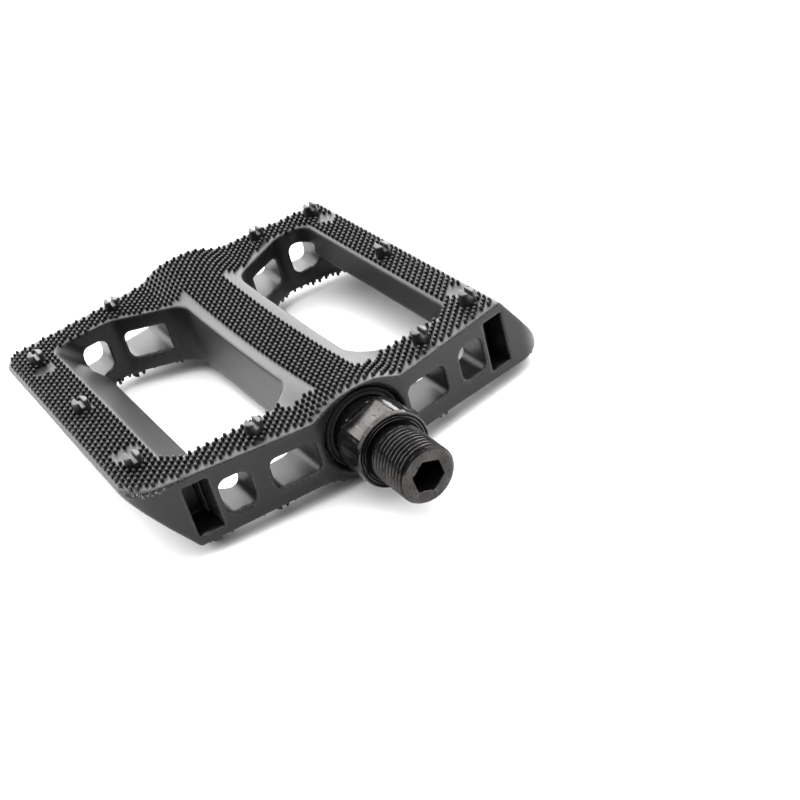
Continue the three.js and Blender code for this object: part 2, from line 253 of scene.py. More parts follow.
SCUFF_COLOUR = (0.12, 0.118, 0.118)
SCUFF_ROUGH = (0.62, 0.62, 0.62)
TORN_COLOUR = (0.16, 0.158, 0.158)
# Near black: the colour of the steel's small pits and of the painted shade in the spindle's thread root and
# flange grooves. Below it, the roughness given under that painted shade.
PIT_AND_PAINTED_SHADE_COLOUR = (0.0012, 0.0011, 0.0010)
PAINTED_SHADE_ROUGH = (0.5, 0.5, 0.5)

# Edges that turn by more than this many degrees are sharp
STUD_SHARP = 38
LATHE_SHARP = 32

# Fields are kept to this many cells from the surface
BAND = 3.0


# ---- camera and light ----


def make_camera():
    angles = (CAMERA_AZIMUTH, CAMERA_ELEVATION, CAMERA_ROLL)
    azimuth, elevation, roll = (math.radians(a) for a in angles)
    back = Vector((
        math.sin(azimuth) * math.cos(elevation),
        -math.cos(azimuth) * math.cos(elevation),
        math.sin(elevation),
    ))
    level = Vector((math.cos(azimuth), math.sin(azimuth), 0))
    right = math.cos(roll) * level + math.sin(roll) * back.cross(level)
    data = bpy.data.cameras.new("camera")
    data.sensor_width = SENSOR_WIDTH
    data.lens = FOCAL_LENGTH
    data.clip_start, data.clip_end = CAMERA_CLIP
    camera = bpy.data.objects.new("camera", data)
    bpy.context.scene.collection.objects.link(camera)
    turned = Matrix((right, back.cross(right), back)).transposed().to_4x4()
    camera.matrix_world = Matrix.Translation(CAMERA_PLACE) @ turned
    bpy.context.scene.camera = camera


def make_sky():
    world = bpy.data.worlds.new("studio")
    world.use_nodes = True
    sky = world.node_tree
    direction = sky.nodes.new("ShaderNodeTexCoord").outputs["Generated"]
    towards = sky.nodes.new("ShaderNodeVectorMath")
    towards.operation = "DOT_PRODUCT"
    towards.inputs[1].default_value = SKY_BRIGHT_SIDE
    level = sky.nodes.new("ShaderNodeMapRange")
    level.interpolation_type = "SMOOTHSTEP"
    level.inputs["From Min"].default_value, level.inputs["From Max"].default_value = SKY_FADE
    level.inputs["To Min"].default_value, level.inputs["To Max"].default_value = SKY_STRENGTH
    sky.links.new(direction, towards.inputs[0])
    sky.links.new(towards.outputs["Value"], level.inputs["Value"])
    sky.links.new(level.outputs["Result"], sky.nodes["Background"].inputs["Strength"])
    sky.nodes["Background"].inputs["Color"].default_value = (1.0, 1.0, 1.0, 1)
    bpy.context.scene.world = world
    bpy.context.scene.view_settings.view_transform = "Standard"


def area_light(name, towards, distance, power):
    """A square softbox that lies in a direction from the platform's middle and faces it."""
    data = bpy.data.lights.new(name, "AREA")
    data.size = SOFTBOX_SIZE
    data.energy = power
    lamp = bpy.data.objects.new(name, data)
    bpy.context.scene.collection.objects.link(lamp)
    direction = Vector(towards).normalized()
    lamp.location = Vector((MIDDLE_X * MM, 0, 0)) + distance * direction
    lamp.rotation_euler = direction.to_track_quat("Z", "Y").to_euler()


# ---- materials ----


class Nodes:
    """Short names for building a node material on one Principled shader."""

    def __init__(self, name):
        self.material = bpy.data.materials.new(name)
        self.material.use_nodes = True
        self.tree = self.material.node_tree
        self.tree.nodes.clear()
        out = self.tree.nodes.new("ShaderNodeOutputMaterial")
        self.shader = self.tree.nodes.new("ShaderNodeBsdfPrincipled")
        self.link(self.shader.outputs[0], out.inputs[0])
        self.where = self.tree.nodes.new("ShaderNodeTexCoord").outputs["Object"]

    def add(self, kind, **values):
        node = self.tree.nodes.new(kind)
        for key, value in values.items():
            setattr(node, key, value)
        return node

    def link(self, a, b):
        self.tree.links.new(a, b)

    def set(self, socket, value):
        """Drives one of the shader's sockets, or sets it if the value is a number."""
        if isinstance(value, float):
            self.shader.inputs[socket].default_value = value
        else:
            self.link(value, self.shader.inputs[socket])

    def attribute(self, name):
        return self.add("ShaderNodeAttribute", attribute_name=name).outputs["Fac"]

    def stretched(self, scale):
        """The surface's coordinates, scaled apart along the axes."""
        mapping = self.add("ShaderNodeMapping")
        mapping.inputs["Scale"].default_value = scale
        self.link(self.where, mapping.inputs["Vector"])
        return mapping.outputs[0]

    def noise(self, scale, detail, roughness=0.5, where=None):
        node = self.add("ShaderNodeTexNoise")
        node.inputs["Scale"].default_value = scale
        node.inputs["Detail"].default_value = detail
        node.inputs["Roughness"].default_value = roughness
        self.link(where or self.where, node.inputs["Vector"])
        return node.outputs["Fac"]

    def ramp(self, fac, low, high):
        """A grey that goes between two stops (position, value)."""
        node = self.add("ShaderNodeValToRGB")
        for element, (position, value) in zip(node.color_ramp.elements, (low, high)):
            element.position = position
            element.color = (value, value, value, 1)
        self.link(fac, node.inputs["Fac"])
        return node.outputs["Color"]

    def times(self, a, b):
        node = self.add("ShaderNodeMath", operation="MULTIPLY")
        self.link(a, node.inputs[0])
        if isinstance(b, float):
            node.inputs[1].default_value = b
        else:
            self.link(b, node.inputs[1])
        return node.outputs[0]

    def mix(self, fac, a, b):
        """Goes from a to b, each a colour or a socket, as fac goes from 0 to 1."""
        node = self.add("ShaderNodeMix", data_type="RGBA")
        self.link(fac, node.inputs[0])
        for socket, value in ((node.inputs[6], a), (node.inputs[7], b)):
            if isinstance(value, tuple):
                socket.default_value = (*value, 1)
            else:
                self.link(value, socket)
        return node.outputs[2]

    def bump(self, height, strength, distance, under=None):
        node = self.add("ShaderNodeBump")
        node.inputs["Strength"].default_value = strength
        node.inputs["Distance"].default_value = distance
        self.link(height, node.inputs["Height"])
        if under is not None:
            self.link(under, node.inputs["Normal"])
        return node.outputs["Normal"]


def nylon(name, dark, light, rough, sheen=0.0):
    """Black glass-filled nylon: fine moulded grain and faint flow marks, pale scuffs where the mesh's edge
    attribute is above 0, and pale torn specks where its torn attribute is."""
    n = Nodes(name)
    flow = n.noise(FLOW_MARKS, 3, where=n.stretched((0.5, 1, 1)))
    cloud = n.noise(CLOUDS, 3)
    base = n.mix(n.ramp(flow, (0.3, 0.0), (0.7, 1.0)), dark, light)
    worn = n.times(n.attribute("edge"), n.ramp(n.noise(SCUFFS, 2), (0.42, 0.0), (0.62, 1.0)))
    torn = n.times(n.attribute("torn"), n.ramp(n.noise(TORN_SPECKS, 2), (0.56, 0.0), (0.62, 1.0)))
    n.set("Base Color", n.mix(torn, n.mix(worn, base, SCUFF_COLOUR), TORN_COLOUR))
    span = n.ramp(cloud, (0.3, rough - 0.012), (0.7, rough + 0.012))
    n.set("Roughness", n.mix(worn, span, SCUFF_ROUGH))
    n.set("Specular IOR Level", 0.28)
    n.set("Sheen Weight", sheen)
    n.set("Sheen Roughness", 0.35)
    soft = n.bump(cloud, 0.004, 0.0002)
    fine = n.bump(n.noise(MOULD_GRAIN, 1), 0.12, 0.00002, soft)
    n.set("Normal", n.bump(torn, 0.6, 0.0002, fine))
    return n.material


def steel(name, dark, light, rough, metallic, brush, scratch):
    """Turned steel: fine rings round the spindle's axis, smudges, scratches, small dark pits, and near-black
    painted shade, rougher, where the mesh's attribute for shaded grooves is above 0."""
    n = Nodes(name)
    rings = n.noise(TURNED_RINGS, 2, 0.6, n.stretched((6, 1, 1)))
    smudge = n.noise(SMUDGES, 4, 0.6)
    lines = n.noise(SCRATCHES, 3, 0.7, n.stretched((1, 7, 0.6)))
    tone = n.mix(n.ramp(smudge, (0.35, 0.0), (0.7, 1.0)), dark, light)
    bright = tuple(min(1.0, 2.2 * c + 0.05) for c in light)
    scratched = n.mix(n.times(n.ramp(lines, (0.60, 0.0), (0.66, 1.0)), scratch), tone, bright)
    pits = n.ramp(n.noise(PITS, 1), (0.635, 0.0), (0.665, 0.75))
    # Painted shade: the thread's root and the flange's grooves go near black and rougher, as shade in those
    # recesses
    painted_groove_shade = n.attribute("painted_groove_shade")
    n.set("Base Color", n.mix(painted_groove_shade, n.mix(pits, scratched, PIT_AND_PAINTED_SHADE_COLOUR), PIT_AND_PAINTED_SHADE_COLOUR))
    n.set("Metallic", metallic)
    span = n.ramp(smudge, (0.3, rough - 0.06), (0.75, rough + 0.1))
    n.set("Roughness", n.mix(painted_groove_shade, span, PAINTED_SHADE_ROUGH))
    n.set("Normal", n.bump(rings, brush, 0.00004, n.bump(smudge, 0.08, 0.0003)))
    return n.material


def rubber(name):
    """Dull black rubber with fine grain and a little dust."""
    n = Nodes(name)
    grain = n.noise(RUBBER_GRAIN, 3, 0.6)
    dust = n.ramp(n.noise(RUBBER_DUST, 4, 0.7), (0.4, 0.0), (0.8, 1.0))
    n.set("Base Color", n.mix(dust, (0.007, 0.007, 0.007), (0.018, 0.017, 0.016)))
    n.set("Roughness", n.ramp(grain, (0.3, 0.6), (0.7, 0.8)))
    n.set("Specular IOR Level", 0.15)
    n.set("Normal", n.bump(grain, 0.3, 0.0001))
    return n.material


def paper(name):
    """The studio's pale floor, almost even."""
    n = Nodes(name)
    n.set("Base Color", n.mix(n.noise(PAPER_TONE, 2), (0.62, 0.61, 0.615), (0.65, 0.645, 0.645)))
    n.set("Roughness", 0.85)
    n.set("Specular IOR Level", 0.2)
    return n.material


# ---- distance fields, in millimetres, negative inside the material ----


def corner_points(corners, steps=10):
    """A closed outline whose corners (x, y, radius) are rounded, as an array of points."""
    points = []
    for i, (x, y, r) in enumerate(corners):
        here = np.array((x, y), float)
        last = np.array(corners[i - 1][:2], float) - here
        following = np.array(corners[(i + 1) % len(corners)][:2], float) - here
        last /= np.linalg.norm(last)
        following /= np.linalg.norm(following)
        half = math.acos(float(np.clip(last @ following, -1, 1))) / 2
        middle = last + following
        centre = here + middle / np.linalg.norm(middle) * r / math.sin(half)
        a, b = (here + d * r / math.tan(half) - centre for d in (last, following))
        start = math.atan2(a[1], a[0])
        sweep = (math.atan2(b[1], b[0]) - start + math.pi) % (2 * math.pi) - math.pi
        for t in np.linspace(0, 1, steps):
            angle = start + sweep * t
            points.append(centre + r * np.array((math.cos(angle), math.sin(angle))))
    return np.array(points)


def outline_distance(outline, x, y):
    """Signed distance to a closed outline of points, for arrays x and y of one shape."""
    nearest = np.full(x.shape, 1e9)
    inside = np.zeros(x.shape, bool)
    for (ax, ay), (bx, by) in zip(outline, np.roll(outline, -1, axis=0)):
        ex, ey = bx - ax, by - ay
        length = ex * ex + ey * ey
        if length < 1e-12:
            continue
        px, py = x - ax, y - ay
        t = np.clip((px * ex + py * ey) / length, 0, 1)
        nearest = np.minimum(nearest, (px - t * ex) ** 2 + (py - t * ey) ** 2)
        left = (px * ey < py * ex) == (ey > 0)
        crosses = ((ay > y) != (by > y)) & left
        inside ^= crosses
    return np.where(inside, -1, 1) * np.sqrt(nearest)


def both(a, b, r):
    """The overlap of two solids, with the edge between them rounded to radius r."""
    near = np.sqrt(np.maximum(a + r, 0) ** 2 + np.maximum(b + r, 0) ** 2)
    return near + np.minimum(np.maximum(a, b) + r, 0) - r


def step(a, b, t):
    """A smooth step from 0 where t is a to 1 where t is b."""
    s = np.clip((t - a) / (b - a), 0, 1)
    return s * s * (3 - 2 * s)


def slab(value, low, high):
    return np.abs(value - (low + high) / 2) - (high - low) / 2


def face_height(y):
    """Height of the dished upper face, without the ridge over the spindle."""
    return EDGE_Z - DISH * (1 - (np.abs(y) / DISH_SPAN) ** DISH_POWER)


def ridge_height(u, y):
    rise = RIDGE_RISE * np.minimum(1, np.abs(u) / RIDGE_SPAN) ** 2
    return rise * np.maximum(0, 1 - (np.abs(y) / RIDGE_HALF) ** 3) ** 2


def top_height(x, y):
    """Height of the upper face, with its ridge and bare marks, without its studs."""
    height = face_height(y) + ridge_height(x - MIDDLE_X, y)
    for mx, my, a, b in BARE_MARKS:
        height = height - MARK_DEPTH * (1 - step(*MARK_FADE, np.hypot((x - mx) / a, (y - my) / b)))
    return height


def wall_x(y):
    """How far the end walls stand from the middle."""
    return HUB_HALF + WALL_SLOPE * (HUB_FACE_HALF - abs(y))


def plan_outline():
    front = [
        (INNER_FACE_X, -HUB_FACE_HALF, HUB_CORNER_R),
        (MIDDLE_X + wall_x(LEAD), -LEAD, LEAD_INBOARD_R),
        (MIDDLE_X - wall_x(LEAD), -LEAD, LEAD_OUTBOARD_R),
        (OUTER_FACE_X, -HUB_FACE_HALF, HUB_CORNER_R),
    ]
    return corner_points(front + [(x, -y, r) for x, y, r in reversed(front)], 14)


def window_outline(reach):
    """The front window, from the bar to its reach. Its outboard side bends sooner when the reach is short."""
    corners = [  # x from the middle, y, radius
        (31.4, -BAR_HALF, 6.0),
        (38.0, -16.4, 5.0),
        (37.4, -reach, 6.0),
        (-36.8, -reach, 4.5),
        (-38.8, -26.5 * min(1, reach / 40), 6.0),
        (-29.2, -BAR_HALF, 9.0),
    ]
    return corner_points([(MIDDLE_X + u, y, r) for u, y, r in corners])


PLAN = plan_outline()
WINDOW_HIGH = window_outline(WINDOW_TOP)
WINDOW_TWIN = window_outline(TWIN_REACH)
WINDOW_LONG = window_outline(WINDOW_BEYOND)
WINDOW_SLANT = (WINDOW_TOP - WINDOW_WAIST) / (face_height(WINDOW_TOP) - WAIST_Z)


def flat_distance(outline, x, y):
    """Distance to an outline in plan, on the grid's x and y, the same at every z."""
    flat = outline_distance(outline, *np.broadcast_arrays(x[..., 0], y[..., 0]))
    return flat[..., None].astype(np.float32)


def twin(make, x, y, z):
    """A feature and its twin on the other face: the field is made again on the grid turned half round X."""
    return np.minimum(make(x, y, z), make(x, -y[:, ::-1], -z[:, :, ::-1])[:, ::-1, ::-1])


def window(x, y, z):
    """The front window: upright sides, and a front wall that slants in from the upper face to the waist and
    out again below it."""
    below_waist = -WINDOW_WAIST - y - WAIST_DRAFT * (WAIST_Z - z)
    above_waist = (-y - WINDOW_WAIST - WINDOW_SLANT * (z - WAIST_Z)) / math.hypot(1, WINDOW_SLANT)
    front = np.where(z > WAIST_Z, above_waist, below_waist)
    return both(flat_distance(WINDOW_LONG, x, y), front.astype(np.float32), WALL_MEETS_SIDE_R)


def wall_hole(shape, span):
    """A rounded opening through an end wall, on the leading side, over a span of x."""
    near, far, half, r = shape

    def make(x, y, z):
        a = slab(-y, near, far) + r
        b = np.abs(z) - half + r
        across = np.hypot(np.maximum(a, 0), np.maximum(b, 0)) + np.minimum(np.maximum(a, b), 0) - r
        return np.maximum(across, slab(x, *span)).astype(np.float32)

    return make


def pocket(x, y, z):
    """The blind slot near a corner of the inboard wall, with a thin rib standing in it."""
    slot = wall_hole(POCKET, POCKET_X)(x, y, z)
    rib = np.maximum(np.maximum(slab(-y, *RIB_SIDES), x - RIB_EDGE_X), RIB_FOOT_Z - z)
    return np.maximum(slot, -rib).astype(np.float32)


def bore(x, y, z):
    """The stepped bore through the hub, with its flared mouth."""
    around = np.hypot(y, z)
    made = np.float32(1e3)
    for x0, x1, r in BORE:
        made = np.minimum(made, np.maximum(around - r, slab(x, x0, x1)))
    flare = (around - MOUTH_R - MOUTH_FLARE * (x - INNER_FACE_X + MOUTH_DEPTH)) / MOUTH_SLOPE_LENGTH
    mouth = np.maximum(flare, slab(x, INNER_FACE_X - MOUTH_DEPTH, -8))
    return np.minimum(made, mouth).astype(np.float32)


def platform_field(x, y, z):
    """The platform: its block between two dished faces and two slanted walls, less its openings."""
    height = top_height(x, y).astype(np.float32)
    under = top_height(x, -y).astype(np.float32)

    rim_round = (RIM_R + NOSE_EXTRA_R * step(*NOSE_FROM_Y, y)).astype(np.float32)
    made = both(flat_distance(PLAN, x, y), z - height, rim_round)
    made = both(made, -z - under, rim_round[:, ::-1])

    # Slanted walls, from the upper face's trailing edge to the lower face's nose, and their twins
    rise = face_height(LEAD) - NOSE + face_height(TRAIL)
    run = LEAD - TRAIL
    slope = math.hypot(rise, run)
    trailing = ((y - TRAIL) * rise + (z - face_height(TRAIL)) * run) / slope
    leading = ((-y - TRAIL) * rise + (-z - face_height(TRAIL)) * run) / slope
    made = both(made, trailing, SLANT_R)
    made = both(made, leading, SLANT_R)

    made = both(made, -twin(window, x, y, z), WINDOW_R)
    for wall in (INBOARD_WALL_X, OUTBOARD_WALL_X):
        for hole in (NEAR_HOLE, FAR_HOLE):
            made = both(made, -twin(wall_hole(hole, wall), x, y, z), HOLE_R)
    made = both(made, -twin(pocket, x, y, z), HOLE_R)
    return both(made, -bore(x, y, z), BORE_R)


# ---- meshes ----


def mesh_of(name, points, polygons, normals=None, sharp=None):
    """A smooth mesh from points in millimetres and arrays of polygons with 3, 4 or more corners each. Edges
    that turn by more than sharp degrees are sharp."""
    mesh = bpy.data.meshes.new(name)
    polygons = [p for p in polygons if len(p)]
    corners = np.concatenate([p.ravel() for p in polygons]).astype(np.int32)
    sizes = np.concatenate([np.full(len(p), p.shape[1]) for p in polygons]).astype(np.int32)
    starts = np.concatenate(([0], np.cumsum(sizes)[:-1])).astype(np.int32)
    mesh.vertices.add(len(points))
    mesh.vertices.foreach_set("co", (np.asarray(points) * MM).astype(np.float32).ravel())
    mesh.loops.add(len(corners))
    mesh.loops.foreach_set("vertex_index", corners)
    mesh.polygons.add(len(sizes))
    mesh.polygons.foreach_set("loop_start", starts)
    mesh.update(calc_edges=True)
    mesh.validate()
    mesh.shade_smooth()
    if sharp is not None:
        mesh.set_sharp_from_angle(angle=math.radians(sharp))
    if normals is not None:
        mesh.normals_split_custom_set_from_vertices(normals.tolist())
    return mesh


def link_mesh(name, mesh, material):
    obj = bpy.data.objects.new(name, mesh)
    bpy.context.scene.collection.objects.link(obj)
    mesh.materials.append(material)
    return obj


def add_attribute(mesh, name, values):
    attribute = mesh.attributes.new(name, "FLOAT", "POINT")
    attribute.data.foreach_set("value", np.asarray(values, np.float32))


def points_of(mesh):
    """The mesh's points in millimetres."""
    points = np.zeros(len(mesh.vertices) * 3, np.float32)
    mesh.vertices.foreach_get("co", points)
    return points.reshape(-1, 3) / MM


def sample(field, at):
    """A field's value between its grid points, at fractional indices."""
    low = np.clip(np.floor(at).astype(int), 0, np.array(field.shape) - 2)
    t = at - low
    value = 0
    for i in (0, 1):
        for j in (0, 1):
            for k in (0, 1):
                weight = np.abs(1 - i - t[:, 0]) * np.abs(1 - j - t[:, 1]) * np.abs(1 - k - t[:, 2])
                value = value + weight * field[low[:, 0] + i, low[:, 1] + j, low[:, 2] + k]
    return value


def mesh_from_field(name, field, origin, cell, adaptivity, wear):
    """The surface of a field on a grid, with normals from the field itself, and an edge attribute that says
    where outward edges are scuffed: wear times how sharply the surface turns."""
    band = np.clip(field / cell, -BAND, BAND).astype(np.float32)
    grid = vdb.FloatGrid(BAND)
    grid.copyFromArray(band)
    points, triangles, quads = grid.convertToPolygons(isovalue=0.0, adaptivity=adaptivity)
    points = points.astype(float)
    slopes = [np.gradient(band, axis=a) for a in range(3)]
    normals = np.stack([sample(s, points) for s in slopes], axis=1)
    length = np.linalg.norm(normals, axis=1, keepdims=True)
    normals = normals / np.maximum(length, 1e-6)

    # Each point moves along its normal to where the field is zero
    off = sample(band, points) / np.maximum(length[:, 0], 0.3)
    points = points - normals * np.clip(off, -0.5, 0.5)[:, None]
    world = points * cell + np.array(origin)

    # About 500 faces say whether they all face along the normals or against them
    probe = quads[:: max(1, len(quads) // 500)] if len(quads) else triangles
    a, b, c = (world[probe[:, i]] for i in range(3))
    facing = np.einsum("ij,ij->i", np.cross(b - a, c - a), normals[probe[:, 0]])
    if np.median(np.sign(facing)) < 0:
        triangles, quads = triangles[:, ::-1], quads[:, ::-1]
    mesh = mesh_of(name, world, [triangles, quads], normals)

    # How sharply the surface turns outwards: the field's second difference at the surface
    bend = sum(np.gradient(s, axis=a) for a, s in enumerate(slopes))
    add_attribute(mesh, "edge", 0.2 * np.clip(sample(bend, points) * wear, 0, 1))
    return mesh


def torn_amount(points):
    """Where the mould tore the skin a little: low under the rim, round the leading inboard corner."""
    x, y, z = points.T
    middle = (MIDDLE_X + wall_x(50) - 8.0, -LEAD + LEAD_INBOARD_R)
    turn = np.arctan2(middle[1] - y, x - middle[0])
    along = step(*TORN_STARTS, turn) * (1 - step(*TORN_STOPS, turn))
    across = 1 - step(*TORN_HALF, np.abs(z - TORN_Z))
    return along * across * (np.hypot(x - middle[0], y - middle[1]) > TORN_OUTSIDE_R)


def platform_mesh():
    cell = 0.36
    margin = 1.2
    half_y, half_z = 162, 38  # cells on each side of the axis
    x = np.arange(OUTER_FACE_X - margin, INNER_FACE_X + margin, cell, dtype=np.float32)[:, None, None]
    y = (np.arange(-half_y, half_y + 1, dtype=np.float32) * cell)[None, :, None]
    z = (np.arange(-half_z, half_z + 1, dtype=np.float32) * cell)[None, None, :]
    origin = (float(x.ravel()[0]), -half_y * cell, -half_z * cell)
    field = platform_field(x, y, z)
    mesh = mesh_from_field("pedal_platform", field, origin, cell, adaptivity=0.006, wear=1.6)
    add_attribute(mesh, "torn", torn_amount(points_of(mesh)))
    return mesh


def pin_form():
    """One pin with its tip at z 0: a tapered post, split along X, with each half's top falling away outwards.
    Gives its points, normals, triangles, quads and edge attribute."""
    cell = 0.17
    low, high = (-3.2, -3.2, -5.6), (3.2, 3.2, 0.6)
    x, y, z = (np.arange(a, b + cell, cell, dtype=np.float32) for a, b in zip(low, high))
    x, y, z = x[:, None, None], y[None, :, None], z[None, None, :]
    post = np.hypot(x, y) - (PIN_R + (PIN_FOOT_R - PIN_R) * np.clip(-z / PIN_TAPER, 0, 1))
    tops = (z + PIN_FALL * np.maximum(np.abs(y) - SLOT_HALF, 0)) / PIN_FALL_LENGTH
    made = np.maximum(both(post, tops, PIN_TIP_R), -PIN_LENGTH - z)
    slot = np.maximum(np.abs(y) - SLOT_HALF - SLOT_DRAFT * (z + SLOT_DEPTH), -SLOT_DEPTH - z)
    made = both(made, -slot, SLOT_R).astype(np.float32)
    mesh = mesh_from_field("pin_form", made, low, cell, adaptivity=0.02, wear=1.0)
    points = points_of(mesh)
    normals = np.array([v.vector for v in mesh.vertex_normals])
    triangles, quads = (
        np.array([p.vertices[:] for p in mesh.polygons if len(p.vertices) == k]) for k in (3, 4)
    )
    edge = np.zeros(len(mesh.vertices), np.float32)
    mesh.attributes["edge"].data.foreach_get("value", edge)
    bpy.data.meshes.remove(mesh)
    return points, normals, triangles, quads, edge


def half_turn(points):
    return points * np.array((1, -1, -1))


def pins_mesh():
    """Every pin of both faces, as one mesh."""
    form, normals, triangles, quads, edge = pin_form()
    points, turned, threes, fours = [], [], [], []
    for face in (1, -1):
        for u, y, tip in PINS:
            placed = form + np.array((MIDDLE_X + u, y, tip))
            offset = len(form) * len(points)
            points.append(placed if face > 0 else half_turn(placed))
            turned.append(normals if face > 0 else half_turn(normals))
            threes.append(triangles + offset)
            fours.append(quads + offset)
    polygons = [np.concatenate(threes), np.concatenate(fours)]
    mesh = mesh_of("grip_pins", np.concatenate(points), polygons, np.concatenate(turned))
    add_attribute(mesh, "edge", np.tile(edge, len(points)))
    return mesh


def stud_places():
    """Where studs stand on the upper face, as x and y."""
    x, y = [], []
    for row in np.arange(-STUD_ROWS, STUD_ROWS):
        shift = STUD_PITCH / 2 if row % 2 else 0
        along = MIDDLE_X + shift + STUD_PITCH * np.arange(-STUD_COLUMNS, STUD_COLUMNS + 1)
        x.append(along)
        y.append(np.full(along.shape, (row + 0.5) * STUD_PITCH / 2))
    x, y = np.concatenate(x), np.concatenate(y)
    u, side = x - MIDDLE_X, np.abs(y)
    keep = outline_distance(PLAN, x, y) < -FROM_OUTLINE
    keep &= np.abs(u) < wall_x(y) - FROM_WALL
    keep &= y < TRAIL - FROM_TRAIL
    keep &= outline_distance(WINDOW_HIGH, x, y) > FROM_WINDOW
    keep &= outline_distance(WINDOW_TWIN, x, -y) > FROM_TWIN
    inboard = SMOOTH_INBOARD - (side - SMOOTH_INBOARD_FROM) * SMOOTH_INBOARD_SLANT
    outboard = np.interp(side, *SMOOTH_OUTBOARD)
    keep &= ~((side > STRIP_HALF) & (side < SMOOTH_HALF) & (u < inboard) & (u > outboard))
    for mx, my, a, b in BARE_MARKS:
        keep &= np.hypot((x - mx) / (a + FROM_MARK), (y - my) / (b + FROM_MARK)) > 1
    for pu, py, _ in PINS:
        keep &= np.hypot(u - pu, y - py) > PIN_FOOT_R + FROM_PIN
    return x[keep], y[keep]


def studs_mesh():
    """Every stud of both faces: a tapered six-sided peg with a chamfered cap, set into the face."""
    x, y = stud_places()
    count = len(x)
    base = top_height(x, y)
    spin = RNG.uniform(0, math.pi / 3, count)
    tall = STUD_HEIGHT * RNG.uniform(*STUD_LUCK, count)
    rings = [  # height above the face, radius
        (-STUD_ROOT, STUD_R * 1.08),
        (0.0, STUD_R * 1.04),
        (0.8 * tall, STUD_R * 0.9),
        (1.0 * tall, STUD_R * 0.4),
    ]
    points = []
    for lift, r in rings:
        for k in range(STUD_SIDES):
            angle = spin + k * math.pi / 3
            points.append(np.stack([x + r * np.cos(angle), y + r * np.sin(angle), base + lift], axis=1))
    upper = np.stack(points, axis=1)
    start = (np.arange(count) * upper.shape[1])[:, None]
    sides = []
    for ring in range(len(rings) - 1):
        low, high = STUD_SIDES * ring, STUD_SIDES * (ring + 1)
        for k in range(STUD_SIDES):
            after = (k + 1) % STUD_SIDES
            sides.append((low + k, low + after, high + after, high + k))
    around = np.arange(STUD_SIDES)
    caps = np.array([around + STUD_SIDES * (len(rings) - 1), around[::-1]])
    quads = (start[:, :, None] + np.array(sides)[None]).reshape(-1, 4)
    hexagons = (start[:, :, None] + caps[None]).reshape(-1, STUD_SIDES)
    upper = upper.reshape(-1, 3)
    offset = len(upper)
    mesh = mesh_of(
        "grip_studs",
        np.concatenate([upper, half_turn(upper)]),
        [np.concatenate([quads, quads + offset]), np.concatenate([hexagons, hexagons + offset])],
        sharp=STUD_SHARP,
    )
    # The caps are scuffed pale, the pegs are not
    add_attribute(mesh, "edge", np.tile(np.repeat([0.0, 0.0, 0.1, 0.2], STUD_SIDES), 2 * count))
    return mesh


def lathe(name, rows, facets):
    """Rows of (x, radius) turned about X, from a point on the axis to another; a radius may be an array of
    one value for each facet. Rows that start and end off the axis close into a ring."""
    angles = 2 * math.pi * np.arange(facets) / facets
    closed = float(np.min(rows[0][1])) > 1e-6
    points = []
    for x, r in rows:
        r = np.broadcast_to(r, angles.shape)
        along = np.full(facets, float(x))
        points.append(np.stack([along, r * np.cos(angles), r * np.sin(angles)], axis=1))
    count = len(rows)
    k = np.arange(facets)
    after = (k + 1) % facets
    quads = []
    for i in range(count if closed else count - 1):
        here, there = i * facets, (i + 1) % count * facets
        quads.append(np.stack([here + k, here + after, there + after, there + k], axis=1))
    mesh = mesh_of(name, np.concatenate(points), [np.concatenate(quads)])
    edit = bmesh.new()
    edit.from_mesh(mesh)
    bmesh.ops.remove_doubles(edit, verts=edit.verts, dist=1e-7)
    bmesh.ops.dissolve_degenerate(edit, edges=edit.edges, dist=1e-7)
    bmesh.ops.recalc_face_normals(edit, faces=edit.faces)
    edit.to_mesh(mesh)
    edit.free()
    mesh.shade_smooth()
    mesh.set_sharp_from_angle(angle=math.radians(LATHE_SHARP))
    return mesh


def race(balls, start, end):
    """Rows along a bearing race, between two angles in degrees round a ball's middle."""
    x, circle = balls
    turns = [math.radians(a) for a in np.linspace(start, end, 6)]
    return [(x + RACE_R * math.cos(t), circle + RACE_R * math.sin(t)) for t in turns]


def thread_rows(angles):
    """The thread: a ridge of one pitch to the turn, held down at its start and where it runs out."""
    rows = []
    for x in np.arange(13.9, 0.75, -THREAD_STEP):
        phase = (x / THREAD_PITCH - angles / (2 * math.pi)) % 1
        away = np.abs(2 * phase - 1)
        cut = np.clip((away - CREST_SHARE) / FLANK_SHARE, 0, 1)
        r = THREAD_CREST - THREAD_DEPTH * (cut - ROOT_ROUND * np.sin(math.pi * cut) * (cut > 0.5))
        lead_in = LEAD_IN[1] + LEAD_IN_SLOPE * (LEAD_IN[0] - x)
        run_out = RUN_OUT[1] + RUN_OUT_SLOPE * max(0.0, x - RUN_OUT[0])
        rows.append((x, np.minimum(r, min(lead_in, run_out))))
    return rows


